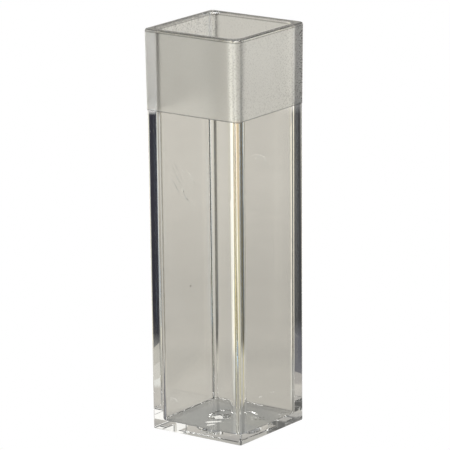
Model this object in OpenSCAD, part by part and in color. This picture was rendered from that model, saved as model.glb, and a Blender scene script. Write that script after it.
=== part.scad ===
// Square laboratory cuvette, moulded in one piece: four clear windows, a thicker
// collar round the mouth, an open well with rounded corners and a solid base.
// Origin: middle of the underside. +Z points up, out of the mouth.

/* [Outside] */
// Overall height, underside to rim
height = 45; // [40:0.5:55]
// Width over the collar at the rim
rim_width = 12.6; // [11:0.05:14]
// Height of the collar, down from the rim
collar_height = 9; // [5:0.5:14]
// Draft of the collar's faces, in degrees
collar_draft = 0.83; // [0.4:0.01:1.2]
// How far the lower edge of the collar stands out past the windows
collar_step = 0.05; // [0.02:0.01:0.12]
// Draft of the windows, in degrees
window_draft = 0.27; // [0.1:0.01:0.36]
// Radius of the upright corners at the rim; it shrinks downwards with the draft
rim_corner_r = 0.62; // [0.47:0.01:1]
// Radius round the outer edge of the rim
rim_outer_r = 0.25; // [0.05:0.05:0.4]
// Radius round the inner edge of the rim
rim_inner_r = 0.4; // [0.1:0.05:0.5]
// Radius round the edge of the underside
foot_r = 0.1; // [0.02:0.02:0.1]

/* [Well] */
// Thickness of the wall at the rim
rim_wall = 0.94; // [0.8:0.02:1.4]
// Draft of the well's walls, in degrees
well_draft = 0.32; // [0.1:0.01:0.9]
// Thickness of the base under the well
base_thickness = 1; // [0.8:0.1:3]
// Radius of the well's upright corners at the rim; it shrinks downwards with the draft
mouth_corner_r = 1.1; // [0.8:0.02:1.6]
// Radius where the floor of the well meets its walls
floor_edge_r = 0.1; // [0.05:0.05:0.3]

/* [Underside] */
// Diameter of the sunk disc round the gate
gate_disc_d = 2.6; // [1.6:0.1:4]
// Depth of the sunk disc
gate_disc_depth = 0.25; // [0.15:0.05:0.5]
// Diameter of the gate stub left in the middle of the disc
gate_stub_d = 0.9; // [0.4:0.1:1.4]
// How far the end of the stub stays above the surface the base stands on
gate_stub_gap = 0.08; // [0.02:0.02:0.1]
// Diameter of the ring that the ejector leaves near one corner
ejector_d = 1.2; // [0.8:0.1:1.6]
// Width of the line of the ejector ring
ejector_line = 0.15; // [0.1:0.05:0.3]
// Depth of the ejector ring
ejector_depth = 0.1; // [0.05:0.05:0.2]
// Distance from the middle of the ejector ring to the two nearest sides of the base
ejector_inset = 1.75; // [1.4:0.05:3]

/* [Hidden] */
$fn = 64;

clear_plastic = [0.80, 0.82, 0.80, 0.45];

// The windows end and the collar starts at the shoulder.
shoulder = height - collar_height;
// Cutters run this far past the face that they open.
overrun = 1;
// Straight pieces that make up each small edge radius.
arc_steps = 6;

// Widths of the outside, from the rim down, and of the well.
collar_foot_width = rim_width - 2 * collar_height * tan(collar_draft);
window_top_width = collar_foot_width - 2 * collar_step;
base_width = window_top_width - 2 * shoulder * tan(window_draft);
mouth_width = rim_width - 2 * rim_wall;
floor_width = mouth_width - 2 * (height - base_thickness) * tan(well_draft);

// Each upright corner keeps one axis over its whole height, so that where a wall
// leans in by its draft, the radius of the corner shrinks by the same amount.
outer_axis = rim_width / 2 - rim_corner_r;
well_axis = mouth_width / 2 - mouth_corner_r;

// Distances from those axes to the faces, which are also the radii of the corners.
collar_foot_r = collar_foot_width / 2 - outer_axis;
window_top_r = window_top_width / 2 - outer_axis;
base_corner_r = base_width / 2 - outer_axis;
floor_corner_r = floor_width / 2 - well_axis;

ejector_offset = base_width / 2 - ejector_inset;

// Points on an arc; angles run anticlockwise from the +X direction.
function arc(centre, r, from, to) = [
    for (i = [0 : arc_steps])
        let (angle = from + (to - from) * i / arc_steps)
            centre + r * [cos(angle), sin(angle)]
];

// Sweeps a section round a square whose corner axes stand at +-axis: a quarter turn
// at each corner and a straight run along each side, round a plain core. The section
// is drawn with X outwards from the corner axis and Y up, from low to high.
module swept_square(axis, low, high) {
    for (turn = [0 : 90 : 270])
        rotate([0, 0, turn])
            translate([axis, axis, 0]) {
                rotate_extrude(angle = 90)
                    children();
                rotate([90, 0, 0])
                    linear_extrude(height = 2 * axis)
                        children();
            }
    translate([-axis, -axis, low])
        cube([2 * axis, 2 * axis, high - low]);
}

// Section of the outside: the rounded foot, the drafted window, the shoulder, and
// the drafted collar with its rounded rim.
module outside_section() {
    foot_centre = [
        base_corner_r + foot_r * tan(window_draft) - foot_r / cos(window_draft),
        foot_r,
    ];
    rim_centre = [
        rim_corner_r - rim_outer_r * tan(collar_draft) - rim_outer_r / cos(collar_draft),
        height - rim_outer_r,
    ];
    polygon(concat(
        [[0, 0]],
        arc(foot_centre, foot_r, -90, -window_draft),
        [[window_top_r, shoulder], [collar_foot_r, shoulder]],
        arc(rim_centre, rim_outer_r, -collar_draft, 90),
        [[0, height]]
    ));
}

// Section of the well, rounded into its floor and flared where it opens at the rim.
module well_section() {
    floor_centre = [
        floor_corner_r + floor_edge_r * tan(well_draft) - floor_edge_r / cos(well_draft),
        base_thickness + floor_edge_r,
    ];
    mouth_centre = [
        mouth_corner_r - rim_inner_r * tan(well_draft) + rim_inner_r / cos(well_draft),
        height - rim_inner_r,
    ];
    polygon(concat(
        [[0, base_thickness]],
        arc(floor_centre, floor_edge_r, -90, -well_draft),
        arc(mouth_centre, rim_inner_r, 180 - well_draft, 90),
        [[mouth_centre.x, height + overrun], [0, height + overrun]]
    ));
}

module outside() {
    swept_square(outer_axis, 0, height)
        outside_section();
}

module well() {
    swept_square(well_axis, base_thickness, height + overrun)
        well_section();
}

// The sunk disc that keeps the gate stub off the surface below.
module gate_disc() {
    difference() {
        translate([0, 0, -overrun])
            cylinder(h = gate_disc_depth + overrun, d = gate_disc_d);
        translate([0, 0, gate_stub_gap])
            cylinder(h = gate_disc_depth, d = gate_stub_d);
    }
}

module ejector_ring() {
    translate([ejector_offset, ejector_offset, -overrun])
        difference() {
            cylinder(h = ejector_depth + overrun, d = ejector_d);
            cylinder(h = ejector_depth + overrun, d = ejector_d - 2 * ejector_line);
        }
}

module cuvette() {
    color(clear_plastic)
        difference() {
            outside();
            well();
            gate_disc();
            ejector_ring();
        }
}

cuvette();
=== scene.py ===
"""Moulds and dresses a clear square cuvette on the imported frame, and sets its stage.

Blender 4.5, run as a script. All sizes are in metres in the frame of the CAD node:
origin in the middle of the underside, +Z out of the mouth.
"""

from math import cos, pi, radians, sin, tan

import bpy
from bpy.props import FloatProperty, FloatVectorProperty, IntProperty, PointerProperty
from mathutils import Matrix, Vector


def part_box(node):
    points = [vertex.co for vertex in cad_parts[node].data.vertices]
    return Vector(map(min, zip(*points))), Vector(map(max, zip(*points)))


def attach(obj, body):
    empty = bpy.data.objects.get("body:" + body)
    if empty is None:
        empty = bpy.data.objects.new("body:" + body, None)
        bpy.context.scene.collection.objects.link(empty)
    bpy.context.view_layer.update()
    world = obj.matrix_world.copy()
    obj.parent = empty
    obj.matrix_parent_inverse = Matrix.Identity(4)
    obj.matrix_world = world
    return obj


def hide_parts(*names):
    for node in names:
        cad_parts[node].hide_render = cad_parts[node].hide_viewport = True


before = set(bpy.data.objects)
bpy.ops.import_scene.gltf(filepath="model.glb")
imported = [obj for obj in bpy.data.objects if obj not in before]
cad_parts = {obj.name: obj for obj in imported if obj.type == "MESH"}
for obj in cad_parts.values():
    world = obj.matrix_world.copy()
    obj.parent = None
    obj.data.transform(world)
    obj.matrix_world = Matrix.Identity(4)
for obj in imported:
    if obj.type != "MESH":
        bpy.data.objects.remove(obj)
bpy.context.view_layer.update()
NODE_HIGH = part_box("cuvette")[1]

bl_info = {
    "name": "Laboratory cuvette",
    "version": (1, 0, 0),
    "blender": (4, 5, 0),
    "location": "3D View > Sidebar > Cuvette",
    "description": "Moulds a clear square cuvette, finishes its plastic and sets its stage",
    "category": "Object",
}

MM = 0.001
# A new level is bridged this far above its place, because two loops in one plane cross.
LIFT = 5 * MM
# Points closer together than this are merged into one.
MERGE_DISTANCE = 1e-7


class CuvetteSizes(bpy.types.PropertyGroup):
    """Sizes of the moulding."""

    height: FloatProperty(
        name="Height", description="Underside to rim", unit="LENGTH", default=NODE_HIGH.z
    )
    rim_width: FloatProperty(
        name="Rim width",
        description="Width over the collar at the rim",
        unit="LENGTH",
        default=12.6 * MM,
    )
    collar_height: FloatProperty(
        name="Collar height",
        description="Height of the collar, down from the rim",
        unit="LENGTH",
        default=9 * MM,
    )
    collar_draft: FloatProperty(
        name="Collar draft",
        description="Draft of the collar's faces",
        subtype="ANGLE",
        default=radians(0.83),
    )
    collar_step: FloatProperty(
        name="Collar step",
        description="How far the lower edge of the collar stands out past the windows",
        unit="LENGTH",
        default=0.05 * MM,
    )
    window_draft: FloatProperty(
        name="Window draft",
        description="Draft of the windows",
        subtype="ANGLE",
        default=radians(0.27),
    )
    rim_corner_r: FloatProperty(
        name="Rim corner",
        description="Radius of the upright corners at the rim",
        unit="LENGTH",
        default=0.62 * MM,
    )
    rim_outer_r: FloatProperty(
        name="Outer rim edge",
        description="Radius round the outer edge of the rim",
        unit="LENGTH",
        default=0.25 * MM,
    )
    rim_inner_r: FloatProperty(
        name="Inner rim edge",
        description="Radius round the inner edge of the rim",
        unit="LENGTH",
        default=0.4 * MM,
    )
    foot_r: FloatProperty(
        name="Foot edge",
        description="Radius round the edge of the underside",
        unit="LENGTH",
        default=0.1 * MM,
    )
    rim_wall: FloatProperty(
        name="Rim wall",
        description="Thickness of the wall at the rim",
        unit="LENGTH",
        default=0.94 * MM,
    )
    well_draft: FloatProperty(
        name="Well draft",
        description="Draft of the walls of the well",
        subtype="ANGLE",
        default=radians(0.32),
    )
    mouth_corner_r: FloatProperty(
        name="Well corner",
        description="Radius of the upright corners of the well, at the rim",
        unit="LENGTH",
        default=1.1 * MM,
    )
    base_thickness: FloatProperty(
        name="Base thickness",
        description="Thickness of the base under the well",
        unit="LENGTH",
        default=1 * MM,
    )
    floor_edge_r: FloatProperty(
        name="Floor edge",
        description="Radius where the floor of the well meets its walls",
        unit="LENGTH",
        default=0.1 * MM,
    )
    gate_disc_d: FloatProperty(
        name="Gate disc",
        description="Diameter of the sunk disc round the gate",
        unit="LENGTH",
        default=2.6 * MM,
    )
    gate_disc_depth: FloatProperty(
        name="Gate disc depth",
        description="Depth of the sunk disc round the gate",
        unit="LENGTH",
        default=0.25 * MM,
    )
    gate_stub_d: FloatProperty(
        name="Gate stub",
        description="Diameter of the gate stub in the middle of the disc",
        unit="LENGTH",
        default=0.9 * MM,
    )
    gate_stub_gap: FloatProperty(
        name="Gate stub gap",
        description="How far the stub stays above the surface that the base stands on",
        unit="LENGTH",
        default=0.08 * MM,
    )
    ejector_d: FloatProperty(
        name="Ejector ring",
        description="Diameter of the ring that the ejector leaves",
        unit="LENGTH",
        default=1.2 * MM,
    )
    ejector_inset: FloatProperty(
        name="Ejector inset",
        description="From the middle of the ejector ring to the two nearest sides",
        unit="LENGTH",
        default=1.75 * MM,
    )
    corner_steps: IntProperty(
        name="Corner steps",
        description="Straight pieces round each upright corner",
        default=24,
    )
    edge_steps: IntProperty(
        name="Edge steps",
        description="Straight pieces round each small edge",
        default=8,
    )


class CuvettePlastic(bpy.types.PropertyGroup):
    """Finish of the plastic."""

    tint: FloatVectorProperty(
        name="Tint",
        description="Colour of the clear plastic",
        subtype="COLOR",
        size=3,
        default=(0.96, 0.96, 0.94),
    )
    ior: FloatProperty(
        name="IOR", description="Refractive index of the plastic", default=1.59
    )
    frost: FloatProperty(
        name="Frost",
        description="Roughness of the matt collar",
        subtype="FACTOR",
        default=0.32,
    )


class CuvetteStage(bpy.types.PropertyGroup):
    """Paper, lights and camera."""

    azimuth: FloatProperty(
        name="Azimuth",
        description="Camera's angle round the cuvette; at 0 it looks along +Y",
        subtype="ANGLE",
        default=radians(35.98),
    )
    elevation: FloatProperty(
        name="Elevation",
        description="Camera's angle above the horizon",
        subtype="ANGLE",
        default=radians(14.33),
    )
    roll: FloatProperty(
        name="Roll",
        description="How far the camera leans",
        subtype="ANGLE",
        default=radians(-0.633),
    )
    distance: FloatProperty(
        name="Distance",
        description="From the camera to the point that it aims at",
        unit="LENGTH",
        default=450.5 * MM,
    )
    lens: FloatProperty(
        name="Lens", description="Focal length of the camera, in mm", default=329.63
    )
    aim_side: FloatProperty(
        name="Aim aside",
        description="How far the camera aims to the right of the axis",
        unit="LENGTH",
        default=-0.136 * MM,
    )
    aim_height: FloatProperty(
        name="Aim height",
        description="Height that the camera aims at",
        unit="LENGTH",
        default=22.70 * MM,
    )
    shade: FloatVectorProperty(
        name="Shade",
        description="Colour of the paper under the cuvette",
        subtype="COLOR",
        size=3,
        default=(0.296, 0.3, 0.306),
    )
    sweep: FloatVectorProperty(
        name="Sweep",
        description="Colour of the paper straight behind the cuvette",
        subtype="COLOR",
        size=3,
        default=(0.60, 0.573, 0.53),
    )
    tent: FloatVectorProperty(
        name="Tent",
        description="Colour of the white tent over the stage",
        subtype="COLOR",
        size=3,
        default=(0.45, 0.45, 0.44),
    )
    ceiling: FloatVectorProperty(
        name="Ceiling",
        description="Colour of the ceiling over the tent",
        subtype="COLOR",
        size=3,
        default=(0.2, 0.2, 0.2),
    )
    near_reach: FloatProperty(
        name="Near reach",
        description="How far the near ring of paper and cards reaches from the middle",
        unit="LENGTH",
        default=31 * MM,
    )


def outer_half(sizes, z):
    """Half the width over the outside at height z, drafted below and above the shoulder."""
    shoulder = sizes.height - sizes.collar_height
    collar_foot = sizes.rim_width / 2 - sizes.collar_height * tan(sizes.collar_draft)
    if z > shoulder:
        return collar_foot + (z - shoulder) * tan(sizes.collar_draft)
    return collar_foot - sizes.collar_step - (shoulder - z) * tan(sizes.window_draft)


def well_half(sizes, z):
    """Half the width of the well at height z."""
    mouth = sizes.rim_width / 2 - sizes.rim_wall
    return mouth - (sizes.height - z) * tan(sizes.well_draft)


def arc(centre, radius, start, end, steps):
    """Points (half-width, height) on an arc round centre, between two angles."""
    return [
        (
            centre[0] + radius * cos(start + (end - start) * i / steps),
            centre[1] + radius * sin(start + (end - start) * i / steps),
        )
        for i in range(steps + 1)
    ]


def outside_profile(sizes):
    """Points (half-width, height) up the outside, from the underside to the rim's flat."""
    shoulder = sizes.height - sizes.collar_height
    draft, foot = sizes.window_draft, sizes.foot_r
    foot_centre = (outer_half(sizes, 0) + foot * tan(draft) - foot / cos(draft), foot)
    rim, rim_draft = sizes.rim_outer_r, sizes.collar_draft
    rim_centre = (
        sizes.rim_width / 2 - rim * tan(rim_draft) - rim / cos(rim_draft),
        sizes.height - rim,
    )
    collar_foot = outer_half(sizes, shoulder) + sizes.collar_step
    return (
        arc(foot_centre, foot, -pi / 2, -draft, sizes.edge_steps)
        + [(outer_half(sizes, shoulder), shoulder), (collar_foot, shoulder)]
        + arc(rim_centre, rim, -rim_draft, pi / 2, sizes.edge_steps)
    )


def well_profile(sizes):
    """Points (half-width, height) down the well, from the rim's flat to its floor."""
    draft, edge, lip = sizes.well_draft, sizes.floor_edge_r, sizes.rim_inner_r
    floor = well_half(sizes, sizes.base_thickness)
    mouth = well_half(sizes, sizes.height)
    mouth_centre = (mouth - lip * tan(draft) + lip / cos(draft), sizes.height - lip)
    floor_centre = (
        floor + edge * tan(draft) - edge / cos(draft),
        sizes.base_thickness + edge,
    )
    return arc(mouth_centre, lip, pi / 2, pi - draft, sizes.edge_steps) + arc(
        floor_centre, edge, -draft, -pi / 2, sizes.edge_steps
    )


def corner_axes(sizes):
    """How far from the middle the upright corners have their axes: outside, then well."""
    half = sizes.rim_width / 2
    return half - sizes.rim_corner_r, half - sizes.rim_wall - sizes.mouth_corner_r


def levels(sizes):
    """Each level of the moulding as (half-width, corner radius, height): from the end of
    the gate stub out over the underside, up the outside, over the rim and down the well."""
    outer_axis, well_axis = corner_axes(sizes)
    stub, disc = sizes.gate_stub_d / 2, sizes.gate_disc_d / 2
    gate = [
        (stub, stub, sizes.gate_stub_gap),
        (stub, stub, sizes.gate_disc_depth),
        (disc, disc, sizes.gate_disc_depth),
        (disc, disc, 0.0),
    ]
    outside = [(half, half - outer_axis, z) for half, z in outside_profile(sizes)]
    well = [(half, half - well_axis, z) for half, z in well_profile(sizes)]
    return gate + outside + well


def add_circle(radius, z, steps):
    """Adds a filled circle with as many points as a square with rounded corners has."""
    bpy.ops.mesh.primitive_circle_add(
        vertices=4 * (steps + 1), radius=radius, fill_type="NGON", location=(0, 0, z)
    )


def add_level(half, corner_r, z, steps):
    """Adds a square with rounded corners to the open mesh, or a circle where the corners
    meet, with the same number of points either way."""
    if corner_r >= half:
        add_circle(half, z, steps)
        return
    bpy.ops.mesh.primitive_plane_add(size=2 * half, location=(0, 0, z))
    bpy.ops.mesh.bevel(offset=corner_r, segments=steps, profile=0.5, affect="VERTICES")


def select_open_edges():
    """Selects the loose edges and those at the open end of the shell."""
    bpy.ops.mesh.select_non_manifold(
        extend=False, use_multi_face=False, use_non_contiguous=False, use_verts=False
    )


def deselect_everything():
    """Leaves edit mode and deselects every object, as operators act on all selected."""
    if bpy.context.mode != "OBJECT":
        bpy.ops.object.mode_set(mode="OBJECT")
    bpy.ops.object.select_all(action="DESELECT")


def loft(name, rings, steps):
    """Bridges level after level into one closed shell, and returns it. The first level is
    a circle."""
    deselect_everything()
    radius, _, z = rings[0]
    add_circle(radius, z, steps)
    piece = bpy.context.object
    piece.name = piece.data.name = name
    bpy.ops.object.transform_apply(location=True, rotation=True, scale=True)
    bpy.ops.object.mode_set(mode="EDIT")
    bpy.ops.mesh.select_mode(type="EDGE")
    for half, corner_r, z in rings[1:]:
        add_level(half, corner_r, z + LIFT, steps)
        bpy.ops.mesh.delete(type="ONLY_FACE")
        select_open_edges()
        bpy.ops.mesh.bridge_edge_loops()
        select_open_edges()
        bpy.ops.transform.translate(value=(0, 0, -LIFT))
    select_open_edges()
    bpy.ops.mesh.edge_face_add()
    bpy.ops.mesh.select_all(action="SELECT")
    bpy.ops.mesh.remove_doubles(threshold=MERGE_DISTANCE)
    bpy.ops.mesh.normals_make_consistent(inside=False)
    bpy.ops.object.mode_set(mode="OBJECT")
    return piece


class Socket:
    """A node's output, so that sums on shader values read as sums."""

    def __init__(self, nodes, socket):
        self.nodes, self.socket = nodes, socket

    def __add__(self, other):
        return self.nodes.maths("ADD", self, other)

    def __sub__(self, other):
        return self.nodes.maths("SUBTRACT", self, other)

    def __rsub__(self, other):
        return self.nodes.maths("SUBTRACT", other, self)

    def __mul__(self, other):
        return self.nodes.maths("MULTIPLY", self, other)

    def __gt__(self, other):
        return self.nodes.maths("GREATER_THAN", self, other)

    def __lt__(self, other):
        return self.nodes.maths("LESS_THAN", self, other)

    def __abs__(self):
        return self.nodes.maths("ABSOLUTE", self)

    __radd__, __rmul__ = __add__, __mul__


class Nodes:
    """The node tree of a material or world, with one method for each way to add to it."""

    def __init__(self, owner):
        owner.use_nodes = True
        self.tree = owner.node_tree
        self.tree.nodes.clear()

    def add(self, kind, settings=None, **sockets):
        """Adds a node of one type. Settings are made first, then its sockets are given
        their values or links; a socket is named as in Blender, with _ for a space."""
        node = self.tree.nodes.new(kind)
        for name, value in (settings or {}).items():
            if name == "interpolation":
                node.color_ramp.interpolation = value
            elif name == "stops":
                self.set_stops(node.color_ramp.elements, value)
            else:
                setattr(node, name, value)
        for name, value in sockets.items():
            self.feed(node.inputs[name.replace("_", " ")], value)
        return node

    def set_stops(self, ramp, stops):
        """Gives a colour ramp its stops, each a place from 0 to 1 and a colour."""
        while len(ramp) < len(stops):
            ramp.new(0.5)
        for stop, (position, colour) in zip(ramp, stops):
            stop.position, stop.color = position, colour

    def feed(self, target, value):
        """Links a socket to an output, or gives it a plain value."""
        if isinstance(value, Socket):
            value = value.socket
        if isinstance(value, bpy.types.NodeSocket):
            self.tree.links.new(value, target)
        else:
            target.default_value = value

    def out(self, node, name):
        """One of a node's outputs, ready for sums."""
        return Socket(self, node.outputs[name])

    def mix(self, factor, first, second):
        """Mixes two shaders: all first at factor 0, all second at factor 1."""
        node = self.add("ShaderNodeMixShader", Fac=factor)
        self.feed(node.inputs[1], first.outputs[0])
        self.feed(node.inputs[2], second.outputs[0])
        return node

    def blend(self, factor, first, second, blend_type="MIX"):
        """Blends two colours: all first at factor 0, all second at factor 1, or their
        product there if they multiply. A Mix node's colours are its inputs 6 and 7 and
        its output 2."""
        node = self.add("ShaderNodeMix", {"data_type": "RGBA", "blend_type": blend_type})
        self.feed(node.inputs["Factor"], factor)
        self.feed(node.inputs[6], first)
        self.feed(node.inputs[7], second)
        return node.outputs[2]

    def scale(self, colour, factor):
        """A colour times a number that may change from place to place."""
        settings = {"operation": "SCALE"}
        node = self.add("ShaderNodeVectorMath", settings, Vector=colour, Scale=factor)
        return node.outputs["Vector"]

    def ramp(self, value, zero_at, one_at):
        """Goes from 0 to 1 between two values, of which either may be the larger."""
        node = self.add("ShaderNodeMapRange", Value=value, From_Min=zero_at, From_Max=one_at)
        return self.out(node, "Result")

    def maths(self, operation, *values):
        """Adds a Math node on sockets or plain values, and returns its result."""
        node = self.tree.nodes.new("ShaderNodeMath")
        node.operation = operation
        for target, value in zip(node.inputs, values):
            self.feed(target, value)
        return Socket(self, node.outputs[0])


def band(nodes, value, middle, reach):
    """1 where value is at middle, and 0 from reach away on."""
    return nodes.ramp(abs(value - middle), reach, 0.0)


def distance(nodes, first, second, middle=(0.0, 0.0)):
    """How far a point lies from a middle, in the plane of two coordinates."""
    one, two = first - middle[0], second - middle[1]
    return nodes.maths("SQRT", one * one + two * two)


def half_width(nodes, x, y, axis):
    """Half the width of the rounded square through a point whose corners have their
    axes at axis."""
    beyond_x, beyond_y = (nodes.maths("MAXIMUM", abs(value) - axis, 0.0) for value in (x, y))
    return distance(nodes, beyond_x, beyond_y) + axis


def turned(first, second, middle, cosine, sine):
    """Two coordinates from a middle: one along a direction, and one across it."""
    one, two = first - middle[0], second - middle[1]
    return one * cosine + two * sine, two * cosine - one * sine


def noise(nodes, vector, grain_size, detail):
    """Noise about 0.5, with grains of one size."""
    texture = nodes.add(
        "ShaderNodeTexNoise", Vector=vector, Scale=1 / grain_size, Detail=detail, Roughness=0.6
    )
    return nodes.out(texture, "Fac")


# Strokes in the underside round the gate, in mm: the X and Y of each one's middle, its
# angle from +X in degrees, half its length and half its thickness.
STROKES = (
    (-1.0, -0.65, 48, 1.0, 0.9),
    (-0.3, -1.95, 50, 1.1, 0.45),
    (0.1, -3.0, 60, 0.6, 0.3),
)
# Strokes and pips are made of slanting facets: their length along X, and how far each
# falls over it, in mm.
FACET, FACET_FALL = 0.4 * MM, 0.6
# Half a ring beside the gate: the X and Y of its middle, and its radius.
HALF_RING_MIDDLE, HALF_RING_R = (0.0, 0.8 * MM), 2.2 * MM
# Two rows of pips: the cosine and sine of the way they run, and half of the way from
# pip to pip and from row to row.
ROW_COSINE, ROW_SINE = 0.81, 0.59
HALF_PIP_PITCH, HALF_ROW_PITCH = 0.22 * MM, 0.4 * MM
# How high the other marks in the underside stand, in mm.
TORN_RISE, HALF_RING_RISE, EJECTOR_RISE = 0.12, 0.28, 0.06


def stroke(nodes, x, y, middle_x, middle_y, angle, half_length, half_thickness):
    """1 along the middle of a short straight stroke, fading to 0 at its edges. Its sizes
    are given in mm and its angle in degrees."""
    turn = radians(angle)
    middle = (middle_x * MM, middle_y * MM)
    along, across = turned(x, y, middle, cos(turn), sin(turn))
    length = nodes.ramp(abs(along), half_length * MM, half_length * MM / 2)
    return length * nodes.ramp(abs(across), half_thickness * MM, 0.0)


def pip_rows(nodes, x, y):
    """1 on the pips of the two rows, and 0 between them and past the rows' ends."""
    along, across = turned(x, y, (0.0, 0.0), ROW_COSINE, ROW_SINE)
    pip = distance(
        nodes,
        nodes.maths("PINGPONG", along, HALF_PIP_PITCH),
        nodes.maths("PINGPONG", across, HALF_ROW_PITCH),
    )
    pips = (
        nodes.ramp(pip, 0.17 * MM, 0.05 * MM)
        * band(nodes, along, 2.9 * MM, 1.4 * MM)
        * (across < 0.3 * MM)
        * (across > -1.1 * MM)
    )
    return pips > 0.25


def underside_marks(nodes, x, y, coarse, sizes):
    """Height in mm of the marks in the underside: the torn gate, strokes and pips whose
    slanting facets catch the light, half a ring and the ejector's whole one."""
    torn = nodes.ramp(distance(nodes, x, y), sizes.gate_disc_d / 2, 0.5 * MM) * coarse
    strokes = sum(stroke(nodes, x, y, *mark) for mark in STROKES) > 0.3
    facets = nodes.maths("FRACT", x * (1 / FACET))
    ring = band(nodes, distance(nodes, x, y, HALF_RING_MIDDLE), HALF_RING_R, 0.22 * MM)
    half_ring = ring * nodes.ramp(y - x, 0.5 * MM, 2.5 * MM)
    corner = outer_half(sizes, 0) - sizes.ejector_inset
    from_ejector = distance(nodes, x, y, (corner, corner))
    ejector_ring = band(nodes, from_ejector, sizes.ejector_d / 2, 0.12 * MM)
    return (
        torn * TORN_RISE * (1 - strokes)
        + (strokes + pip_rows(nodes, x, y)) * facets * -FACET_FALL
        + half_ring * HALF_RING_RISE
        + ejector_ring * EJECTOR_RISE
    )


# Beyond this distance from the middle a point lies on the outside of a window.
WINDOW_FACE = 5.7 * MM
# Pitch of the slanting scratches, and the share of it that each scratch takes up.
SCRATCH_PITCH, SCRATCH_SHARE = 0.6 * MM, 0.2
# Their patch: the X and Z of its middle, and the cosine and sine of the way they run.
PATCH_MIDDLE, PATCH_COSINE, PATCH_SINE = (-1.3 * MM, 28.6 * MM), 0.5, -0.87
# The bent scratch: the Y and Z that it bends round, and how far from them it runs.
BEND_MIDDLE, BEND_R = (-2.2 * MM, 30.4 * MM), 1.3 * MM
# How high the slanting scratches and the bent one stand, in mm, and how rough they are.
SLANTING_RISE, BENT_RISE, SCRATCH_ROUGHNESS = 0.4, 0.015, 0.1


def scratches(nodes, x, y, z, coarse):
    """Fine scratches where the windows are wiped and held: a patch of slanting ones on
    the -Y window, and a bent one on the +X window."""
    along, across = turned(x, z, PATCH_MIDDLE, PATCH_COSINE, PATCH_SINE)
    patch = nodes.ramp(abs(along) + abs(across) * 1.3, 2.6 * MM, 1.6 * MM)
    uneven = nodes.add(
        "ShaderNodeTexNoise",
        {"noise_dimensions": "1D"},
        W=across,
        Scale=1 / (0.5 * MM),
        Detail=1.0,
    )
    teeth = nodes.maths("FRACT", across * (1 / SCRATCH_PITCH) + nodes.out(uneven, "Fac") * 2.0)
    slanting = (
        nodes.ramp(teeth, 0.0, SCRATCH_SHARE)
        * (teeth < SCRATCH_SHARE)
        * patch
        * (y < -WINDOW_FACE)
        * nodes.ramp(coarse, 0.42, 0.5)
    )
    bent = (
        band(nodes, distance(nodes, y, z, BEND_MIDDLE), BEND_R, 0.1 * MM)
        * nodes.ramp(y * 0.8 + z, 28.6 * MM, 29.6 * MM)
        * (x > WINDOW_FACE)
    )
    return slanting, bent


# How dark the painted shade is along each edge, from 0 to 1.
MOUTH_DARK, RIM_DARK, SIDE_DARK, SHOULDER_DARK, FLOOR_DARK = 0.95, 0.7, 0.85, 0.9, 0.3


def painted_edge_shade(nodes, x, y, z, outside, sizes):
    """How dark the edges are painted, as thin bands of painted shade: round the mouth, round
    the rim and just under it, along the shoulder and round the floor of the well."""
    outer_axis, well_axis = corner_axes(sizes)
    rim_half, floor = sizes.rim_width / 2, sizes.base_thickness
    shoulder = sizes.height - sizes.collar_height
    lip = rim_half - sizes.rim_wall + sizes.rim_inner_r
    top = z > sizes.height - 0.12 * MM
    well, outer = half_width(nodes, x, y, well_axis), half_width(nodes, x, y, outer_axis)
    mouth_line = band(nodes, well, lip + 0.02 * MM, 0.14 * MM) * top
    rim_line = band(nodes, outer, rim_half - 0.08 * MM, 0.16 * MM) * top
    side_line = band(nodes, z, sizes.height - 0.27 * MM, 0.12 * MM)
    shoulder_line = band(nodes, z, shoulder + 0.05 * MM, 0.1 * MM) * outside
    above_floor = (z > floor + 0.005 * MM) * (1 - outside)
    floor_line = band(nodes, z, floor + 0.07 * MM, 0.1 * MM) * above_floor
    # Painted shade along each edge, summed.
    edge_shade = (
        mouth_line * MOUTH_DARK
        + rim_line * RIM_DARK
        + side_line * SIDE_DARK
        + shoulder_line * SHOULDER_DARK
        + floor_line * FLOOR_DARK
    )
    return nodes.maths("MINIMUM", edge_shade, 1.0)


def pit_and_shade_share(nodes, x, y):
    """How thick the pits lie on the collar, and with them painted shade: thickest at the +X +Y
    corner and on the -X side, and thinnest on the -Y side, with the +X side darker towards +Y.
    The pits are partly real pitting and partly painted shade on the sides that they darken."""
    minus_x_side = nodes.ramp(x, -5.0 * MM, -5.8 * MM) * nodes.ramp(y, -5.5 * MM, -4.0 * MM)
    plus_x_side = (nodes.ramp(y, -1.0 * MM, 5.5 * MM) * 0.3 + 0.25) * (x > 5.0 * MM)
    plus_y_side = nodes.ramp(y, 5.0 * MM, 5.8 * MM)
    front_corner = nodes.ramp(x - y, 10.4 * MM, 11.6 * MM)
    right_corner = nodes.ramp(x + y, 10.6 * MM, 11.8 * MM)
    return (
        minus_x_side * 0.65
        + plus_x_side
        + front_corner * 0.08
        + right_corner * 0.4
        + plus_y_side * 0.1
        + 0.04
    )


# Colour of the fringe painted along the well's front corner, standing in for the colours that
# the plastic splits out of white light: low down, high up, and the heights between which one
# turns into the other.
PAINTED_FRINGE_LOW, PAINTED_FRINGE_HIGH = (1.0, 0.88, 0.32, 1.0), (1.0, 0.64, 0.24, 1.0)
FRINGE_TURNS_AT, FRINGE_TURNED_AT = 20 * MM, 27 * MM


def painted_corner_fringe(nodes, x, y, z, shoulder):
    """1 along a thin line on the well's front corner, up to the shoulder, where the fringe is
    painted, and else 0.
    """
    line = band(nodes, x + y, 0.2 * MM, 0.13 * MM)
    corner = (x > 4.6 * MM) * (x < 5.4 * MM) * (y < -4.3 * MM)
    return line * corner * (z < shoulder) * nodes.ramp(z, 3.0 * MM, 5.0 * MM)


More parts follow.
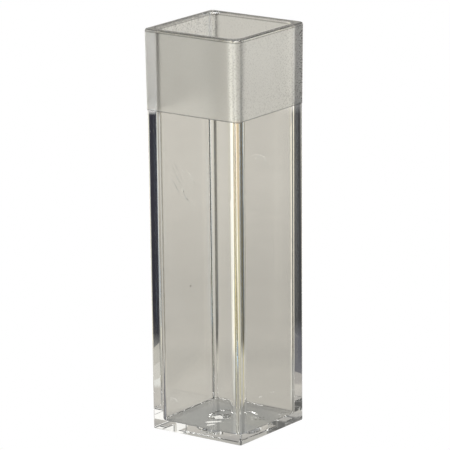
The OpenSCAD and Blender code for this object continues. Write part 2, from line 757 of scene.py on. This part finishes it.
# Sizes of the grains in the matt texture and of the coarser unevenness, and the depth of
# the matt texture.
GRAIN, COARSE_GRAIN, GRAIN_DEPTH = 0.16 * MM, 0.5 * MM, 0.005 * MM
# One speck of dirt on the -Y window: the X and Z of its middle, its radius, and how
# dark it is from 0 to 1.
DIRT_MIDDLE, DIRT_R, DIRT_DARK = (-0.51 * MM, 17.08 * MM), 0.08 * MM, 0.9
# Painted shade darkens the collar's +X side a little, from this X on.
SHADED_SIDE_FROM, SHADED_SIDE_STRENGTH = 5.5 * MM, 0.08


def plastic_material(name, finish, sizes):
    """Clear moulded plastic, polished but for the matt and pitted outside of the collar,
    with the marks of the mould in its underside and those of use on its windows."""
    material = bpy.data.materials.new(name)
    nodes = Nodes(material)
    place = nodes.add("ShaderNodeTexCoord").outputs["Object"]
    at = nodes.add("ShaderNodeSeparateXYZ", Vector=place)
    x, y, z = (nodes.out(at, axis) for axis in "XYZ")
    shoulder = sizes.height - sizes.collar_height
    across = nodes.maths("MAXIMUM", abs(x), abs(y))
    outside = across > sizes.rim_width / 2 - sizes.rim_wall / 2
    matt = outside * (z > shoulder + 0.02 * MM) * (z < sizes.height - sizes.rim_outer_r)
    underside = z < sizes.gate_disc_depth + 0.05 * MM
    grain = noise(nodes, place, GRAIN, 3.0)
    coarse = noise(nodes, place, COARSE_GRAIN, 2.0)
    slanting, bent = scratches(nodes, x, y, z, coarse)
    relief = (
        grain * matt * GRAIN_DEPTH
        + underside_marks(nodes, x, y, coarse, sizes) * underside * MM
        + (slanting * SLANTING_RISE + bent * BENT_RISE) * MM
    )
    bump = nodes.add("ShaderNodeBump", Strength=1.0, Distance=1.0, Height=relief)
    # Thin bands of painted shade darken the colour along the edges.
    edge_shade = painted_edge_shade(nodes, x, y, z, outside, sizes)
    # Pits darken the matt collar: partly pitting, partly painted shade where they lie thicker
    # on some sides.
    pits_and_painted_shade = nodes.ramp(grain, 0.5, 0.62) * matt * pit_and_shade_share(nodes, x, y)
    dirt = (distance(nodes, x, z, DIRT_MIDDLE) < DIRT_R) * (y < -WINDOW_FACE) * DIRT_DARK
    # Painted shade on the collar's +X side.
    plus_x_shade = matt * (x > SHADED_SIDE_FROM) * SHADED_SIDE_STRENGTH
    clear = (1 - edge_shade) * (1 - pits_and_painted_shade) * (1 - dirt) * (1 - plus_x_shade)
    # The coloured fringe on the well's front corner is painted into the colour.
    turned_at = nodes.ramp(z, FRINGE_TURNS_AT, FRINGE_TURNED_AT)
    painted_fringe_colour = nodes.blend(turned_at, PAINTED_FRINGE_LOW, PAINTED_FRINGE_HIGH)
    painted_fringe = painted_corner_fringe(nodes, x, y, z, shoulder)
    tint = nodes.blend(painted_fringe, (*finish.tint, 1.0), painted_fringe_colour)
    plastic = nodes.add(
        "ShaderNodeBsdfPrincipled",
        Base_Color=nodes.blend(1.0, tint, clear, "MULTIPLY"),
        Roughness=matt * finish.frost + (slanting + bent) * SCRATCH_ROUGHNESS,
        IOR=finish.ior,
        Transmission_Weight=1.0,
        Normal=bump.outputs["Normal"],
    )
    nodes.add("ShaderNodeOutputMaterial", Surface=plastic.outputs["BSDF"])
    return material


class CUVETTE_OT_moulding(bpy.types.Operator):
    """Moulds the cuvette in place of its plain solid and finishes its plastic"""

    bl_idname = "cuvette.moulding"
    bl_label = "Mould the cuvette"

    def execute(self, context):
        sizes, finish = context.scene.cuvette_sizes, context.scene.cuvette_plastic
        piece = loft("cuvette_moulding", levels(sizes), sizes.corner_steps)
        piece.data.materials.append(plastic_material("clear_plastic_moulded", finish, sizes))
        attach(piece, "root")
        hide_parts("cuvette")
        return {"FINISHED"}


# What the cuvette sees round it, as cards, lamps and gaps between them, with the light and
# shade on them: where each starts, in degrees clockwise as seen from above, with 0 straight
# behind it as the camera looks, and its colour. The near ring is painted as glowing colour on
# the paper close round the foot, the far ring round that, and the outer ring beyond both, on
# the paper and in the world up to the horizon and a little above it.
NEAR_RING = (
    (-180, (0.12, 0.12, 0.13)),  # the dark side where the camera stands
    (-164, (0.62, 0.60, 0.52)),  # a pale strip, front left
    (-140, (0.30, 0.30, 0.29)),  # a grey card on the left
    (-112, (0.20, 0.20, 0.20)),  # its darker half
    (-98, (0.15, 0.15, 0.17)),  # a dark gap
    (-74, (0.42, 0.40, 0.38)),  # the end of the paper, half in the dark
    (-56, (0.60, 0.58, 0.52)),  # paper, back left
    (-36, (0.72, 0.69, 0.62)),  # paper with a light patch
    (-8, (0.66, 0.64, 0.58)),  # paper, straight behind
    (10, (0.69, 0.66, 0.60)),  # paper towards the lamp
    (27, (0.72, 0.70, 0.64)),  # paper in the light of the lamp
    (32, (0.82, 0.82, 0.78)),  # the lamp's bright patch
    (43, (0.68, 0.66, 0.61)),  # paper past the lamp
    (52, (0.56, 0.54, 0.49)),  # its shaded end
    (57, (0.27, 0.27, 0.26)),  # a dark card
    (68, (0.32, 0.31, 0.28)),  # its lighter end
    (106, (0.54, 0.52, 0.43)),  # a warm card on the right
    (120, (0.45, 0.45, 0.42)),  # a grey card
    (136, (0.58, 0.57, 0.51)),  # a pale card, front right
    (160, (0.30, 0.34, 0.40)),  # a bluish card, front right
    (175, (0.06, 0.06, 0.07)),  # the dark side again
)
FAR_RING = (
    (-180, (0.06, 0.06, 0.07)),  # the dark side where the camera stands
    (-147, (0.42, 0.55, 0.70)),  # a bluish card, front left
    (-133, (0.06, 0.06, 0.06)),  # a black card on the left
    (-93, (0.50, 0.49, 0.46)),  # the edge of a grey card on the left
    (-90, (0.58, 0.56, 0.51)),  # that card
    (-70, (0.34, 0.32, 0.29)),  # a gap in the shade
    (-60, (0.60, 0.58, 0.53)),  # a grey card, back left
    (-50, (0.28, 0.26, 0.22)),  # the shade beside it
    (-40, (0.13, 0.12, 0.10)),  # a dark gap
    (-22, (0.40, 0.38, 0.34)),  # the shaded edge of the paper sweep
    (-19, (0.65, 0.62, 0.55)),  # the paper sweep
    (17, (1.10, 1.07, 1.00)),  # a white card, right behind
    (30, (1.50, 1.38, 1.08)),  # a warm lamp at the end of that card
    (42, (0.74, 0.68, 0.56)),  # the wall in the light of the lamp
    (50, (0.36, 0.34, 0.29)),  # the wall past its light
    (57, (0.03, 0.03, 0.04)),  # a black card
    (88, (0.60, 0.95, 1.40)),  # daylight on the right
    (95, (0.42, 0.38, 0.24)),  # a brown card
    (102, (0.64, 0.54, 0.28)),  # a warm reflection on the right
    (112, (0.62, 0.64, 0.56)),  # a grey card on the right
    (130, (0.60, 0.64, 0.68)),  # a cooler grey card
    (148, (0.85, 0.83, 0.78)),  # a white card, front right
    (162, (0.46, 0.58, 0.74)),  # a bluish card, front right
    (175, (0.06, 0.06, 0.07)),  # the dark side again
)
OUTER_RING = (
    (-180, (0.35, 0.35, 0.34)),  # a grey wall where the camera stands
    (-165, (0.12, 0.12, 0.12)),  # its end in the shade
    (-145, (0.02, 0.02, 0.02)),  # a black cloth on the left
    (-78, (0.10, 0.10, 0.09)),  # a dark gap
    (-60, (0.32, 0.31, 0.28)),  # a grey card, back left
    (-42, (0.18, 0.17, 0.15)),  # the shade beside it
    (-23, (0.64, 0.62, 0.57)),  # the far end of the paper sweep
    (16, (1.02, 1.00, 0.94)),  # a white card, right behind
    (28, (1.35, 1.32, 1.20)),  # a lamp at the end of that card
    (43, (0.80, 0.78, 0.74)),  # the wall past the lamp
    (58, (1.55, 1.53, 1.50)),  # a large soft lamp, back right
    (100, (0.80, 0.80, 0.78)),  # a white wall on the right
    (126, (0.45, 0.45, 0.44)),  # a grey card, front right
    (146, (0.60, 0.60, 0.58)),  # a pale card, front right
)
WHITE = (1.0, 1.0, 1.0, 1.0)


def ring_stops(parts):
    """Places round the ring as stops of a colour ramp, from 0 to 1."""
    return [((start + 180) / 360, (*colour, 1.0)) for start, colour in parts]


def ring_place(nodes, vector, stage):
    """Where a point or direction lies as the camera looks: how far aside, behind and
    up, and how far round the ring, from 0 to 1 with straight behind at the middle."""
    turned_place = nodes.add(
        "ShaderNodeMapping", Vector=vector, Rotation=(0, 0, -stage.azimuth)
    )
    at = nodes.add("ShaderNodeSeparateXYZ", Vector=turned_place.outputs["Vector"])
    aside, behind, up = (nodes.out(at, axis) for axis in "XYZ")
    return aside, behind, up, nodes.maths("ARCTAN2", aside, behind) * (0.5 / pi) + 0.5


def ring_colour(nodes, parts, round_ring):
    """The colour of the card that stands at one place round the ring."""
    ring = nodes.add(
        "ShaderNodeValToRGB",
        {"interpolation": "CONSTANT", "stops": ring_stops(parts)},
        Fac=round_ring,
    )
    return ring.outputs["Color"]


def white_to_camera(nodes, kind, surface):
    """The surface as the cuvette sees it, but plain white to the camera itself."""
    white = nodes.add(kind, Color=WHITE, Strength=1.0)
    ray = nodes.add("ShaderNodeLightPath")
    return nodes.mix(nodes.out(ray, "Is Camera Ray"), surface, white).outputs[0]


# How far from the middle one thing on the stage gives way to the next, each as where it
# starts to and where it has: the shade under the foot, the paper where the light grows,
# and the end of the far ring.
SHADE_FADES, SHADE_ENDS = 4 * MM, 9 * MM
LIGHT_GROWS, LIGHT_GROWN = 60 * MM, 110 * MM
FAR_RING_FADES, FAR_RING_ENDS = 158 * MM, 164 * MM
# Half the width of the soft edge between the near ring and what lies beyond it.
NEAR_RING_SOFT = 4 * MM
# How much brighter the far ring and the sweep grow with the light, and how much the
# sweep gains past the near ring.
LIGHT_GAIN, SWEEP_GAIN = 0.18, 0.11
# The sweep lies straight behind the cuvette: in full to the first distance on either
# side, and not at all past the second. Past the near ring it is wider by the third.
SWEEP_FULL, SWEEP_ENDS, SWEEP_WIDENS = 7.2 * MM, 8.8 * MM, 5 * MM
# Size of the blotches on the sweep, how strong they are, and how much it darkens for
# each metre to the right.
BLOTCH, BLOTCH_STRENGTH, SWEEP_DARKENS = 5 * MM, 0.12, 3.0


def paper_material(name, stage):
    """A pale paper sweep that glows with painted cards, lamps, light and shade round the
    cuvette and a painted shadow under its foot; the camera itself sees plain white."""
    material = bpy.data.materials.new(name)
    nodes = Nodes(material)
    place = nodes.add("ShaderNodeTexCoord").outputs["Object"]
    aside, behind, _, round_ring = ring_place(nodes, place, stage)
    far = distance(nodes, aside, behind)
    near_end = stage.near_reach
    away = nodes.ramp(far, near_end - NEAR_RING_SOFT, near_end + NEAR_RING_SOFT)
    under = nodes.ramp(far, SHADE_ENDS, SHADE_FADES)
    lit = nodes.ramp(far, LIGHT_GROWS, LIGHT_GROWN) * LIGHT_GAIN + 1
    beyond = nodes.ramp(far, FAR_RING_FADES, FAR_RING_ENDS)
    straight_behind = (behind > 0) * nodes.ramp(
        abs(aside) - away * SWEEP_WIDENS, SWEEP_ENDS, SWEEP_FULL
    )
    blotches = noise(nodes, place, BLOTCH, 3.0) * BLOTCH_STRENGTH + (1 - BLOTCH_STRENGTH / 2)
    sweep_light = (away * SWEEP_GAIN + 1) * lit * (blotches - aside * SWEEP_DARKENS)
    colours = (
        ring_colour(nodes, NEAR_RING, round_ring),
        nodes.scale(ring_colour(nodes, FAR_RING, round_ring), lit),
        ring_colour(nodes, OUTER_RING, round_ring),
        nodes.scale(stage.sweep, sweep_light),
        (*stage.shade, 1.0),
    )
    near, distant, outer, sweep, shade = (
        nodes.add("ShaderNodeEmission", Color=colour, Strength=1.0) for colour in colours
    )
    # The paper glows with the painted rings, the painted sweep and the painted shadow under
    # the foot.
    inner = nodes.mix(straight_behind, nodes.mix(away, near, distant), sweep)
    around = nodes.mix(beyond, inner, outer)
    shaded = nodes.mix(under, around, shade)
    surface = white_to_camera(nodes, "ShaderNodeEmission", shaded)
    nodes.add("ShaderNodeOutputMaterial", Surface=surface)
    return material


# The cards give way to the tent, and the tent to the ceiling, between these heights, each
# the sine of an angle above the horizon.
CARDS_FADE, CARDS_END = 0.26, 0.42
TENT_FADES, TENT_ENDS = 0.45, 0.62
# How bright the outer ring is where it stands up, against where it lies flat.
STANDING_STRENGTH = 0.8


def dress_world(world, stage):
    """The cards stand up to a little above the horizon, under a tent and a dim ceiling."""
    nodes = Nodes(world)
    place = nodes.add("ShaderNodeTexCoord").outputs["Generated"]
    _, _, up, round_ring = ring_place(nodes, place, stage)
    cards = nodes.add(
        "ShaderNodeBackground",
        Color=ring_colour(nodes, OUTER_RING, round_ring),
        Strength=STANDING_STRENGTH,
    )
    tent = nodes.add("ShaderNodeBackground", Color=(*stage.tent, 1), Strength=1.0)
    ceiling = nodes.add("ShaderNodeBackground", Color=(*stage.ceiling, 1), Strength=1.0)
    standing = nodes.mix(nodes.ramp(up, CARDS_FADE, CARDS_END), cards, tent)
    above = nodes.mix(nodes.ramp(up, TENT_FADES, TENT_ENDS), standing, ceiling)
    surface = white_to_camera(nodes, "ShaderNodeBackground", above)
    nodes.add("ShaderNodeOutputWorld", Surface=surface)


# Width of the sheet that the cuvette stands on, and how far it lies below the foot, so
# that no two faces share a plane.
SHEET_WIDTH, SHEET_GAP = 2.0, 0.02 * MM
# The overhead light: its height, its width, and its power in watts.
LIGHT_HEIGHT, LIGHT_WIDTH, LIGHT_POWER = 0.5, 0.4, 4.0
# The camera sees what lies between these two distances. Its sensor's width is in mm.
CLIP_START, CLIP_END = 0.01, 10
SENSOR_WIDTH = 36
# How often light may pass through clear walls, and bounce off them, before it is lost.
CLEAR_BOUNCES, GLOSSY_BOUNCES = 32, 16


def lay_sheet(stage):
    """Lays the sheet with the paper and cards on it just under the cuvette."""
    deselect_everything()
    bpy.ops.mesh.primitive_plane_add(size=SHEET_WIDTH, location=(0, 0, -SHEET_GAP))
    paper = bpy.context.object
    paper.name = paper.data.name = "paper"
    bpy.ops.object.transform_apply(location=True, rotation=True, scale=True)
    paper.data.materials.append(paper_material("pale_paper", stage))


def hang_light():
    """Hangs a soft square light straight over the cuvette, shining down."""
    deselect_everything()
    bpy.ops.object.light_add(type="AREA", location=(0, 0, LIGHT_HEIGHT))
    lamp = bpy.context.object
    lamp.name = lamp.data.name = "overhead"
    lamp.data.size = LIGHT_WIDTH
    lamp.data.energy = LIGHT_POWER


def set_camera(scene, stage):
    """Points a camera with a long lens at the cuvette, from the stage's angles."""
    azimuth, elevation, roll = stage.azimuth, stage.elevation, stage.roll
    level = cos(elevation)
    back = Vector((sin(azimuth) * level, -cos(azimuth) * level, sin(elevation)))
    right = Vector((cos(azimuth), sin(azimuth), 0))
    up = back.cross(right)
    side = cos(roll) * right + sin(roll) * up
    top = cos(roll) * up - sin(roll) * right
    aim = stage.aim_side * right + Vector((0, 0, stage.aim_height))
    deselect_everything()
    bpy.ops.object.camera_add()
    camera = bpy.context.object
    turn = Matrix((side, top, back)).transposed().to_4x4()
    camera.matrix_world = Matrix.Translation(aim + stage.distance * back) @ turn
    camera.data.lens = stage.lens
    camera.data.sensor_width = SENSOR_WIDTH
    camera.data.clip_start = CLIP_START
    camera.data.clip_end = CLIP_END
    scene.camera = camera


class CUVETTE_OT_stage(bpy.types.Operator):
    """Lays the paper sweep, hangs the light and sets up the camera"""

    bl_idname = "cuvette.stage"
    bl_label = "Set the stage"

    def execute(self, context):
        scene = context.scene
        stage = scene.cuvette_stage
        lay_sheet(stage)
        hang_light()
        scene.world = scene.world or bpy.data.worlds.new("studio")
        dress_world(scene.world, stage)
        set_camera(scene, stage)
        scene.view_settings.view_transform = "Standard"
        scene.cycles.max_bounces = CLEAR_BOUNCES
        scene.cycles.transmission_bounces = CLEAR_BOUNCES
        scene.cycles.glossy_bounces = GLOSSY_BOUNCES
        return {"FINISHED"}


class CUVETTE_PT_panel(bpy.types.Panel):
    """Lists the steps that make the cuvette"""

    bl_idname = "CUVETTE_PT_panel"
    bl_label = "Cuvette"
    bl_space_type = "VIEW_3D"
    bl_region_type = "UI"
    bl_category = "Cuvette"

    def draw(self, context):
        for step in STEPS:
            self.layout.operator(step.bl_idname)


GROUPS = {
    "cuvette_sizes": CuvetteSizes,
    "cuvette_plastic": CuvettePlastic,
    "cuvette_stage": CuvetteStage,
}
STEPS = (CUVETTE_OT_moulding, CUVETTE_OT_stage)


def register():
    for name, group in GROUPS.items():
        bpy.utils.register_class(group)
        setattr(bpy.types.Scene, name, PointerProperty(type=group))
    for kind in (*STEPS, CUVETTE_PT_panel):
        bpy.utils.register_class(kind)


def unregister():
    for kind in reversed((*STEPS, CUVETTE_PT_panel)):
        bpy.utils.unregister_class(kind)
    for name, group in reversed(GROUPS.items()):
        delattr(bpy.types.Scene, name)
        bpy.utils.unregister_class(group)


def main():
    register()
    bpy.ops.cuvette.moulding()
    bpy.ops.cuvette.stage()


if __name__ == "__main__":
    main()
